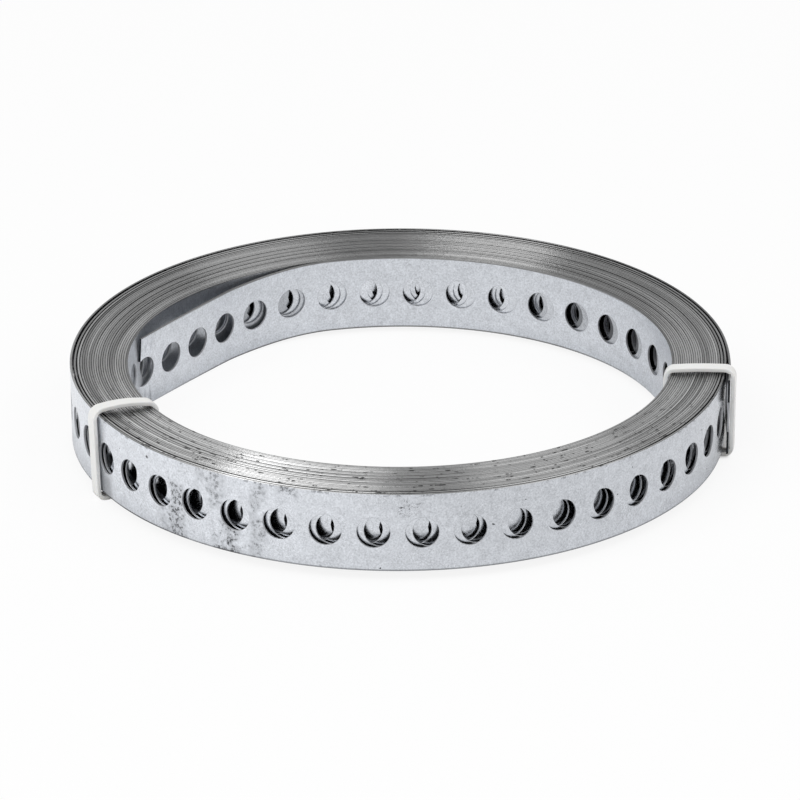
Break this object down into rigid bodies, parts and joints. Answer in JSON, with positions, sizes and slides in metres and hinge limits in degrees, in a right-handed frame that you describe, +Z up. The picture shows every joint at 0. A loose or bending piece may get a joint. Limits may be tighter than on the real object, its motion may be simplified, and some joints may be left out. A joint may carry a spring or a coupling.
{
  "type": "coil of perforated steel strap",
  "caption": "Coil of galvanised perforated steel strap with a free inner end, held by nylon ties round its section; fixing band for building work.",
  "frame": {"origin": "on the coil's axis, on the floor it lies on", "axes": "+Z up along the coil's axis; -Y to the picture's viewer, +X to the picture's right"},
  "size_m": [0.143, 0.142, 0.0201],
  "materials": {
    "galvanised_steel": "galvanised, with dark stains and specks",
    "nylon": "milky white, slightly glossy"
  },
  "bodies": {
    "root": {"strap": "galvanised_steel", "tie_left": "nylon", "tie_right": "nylon"}
  },
  "joints": []
}
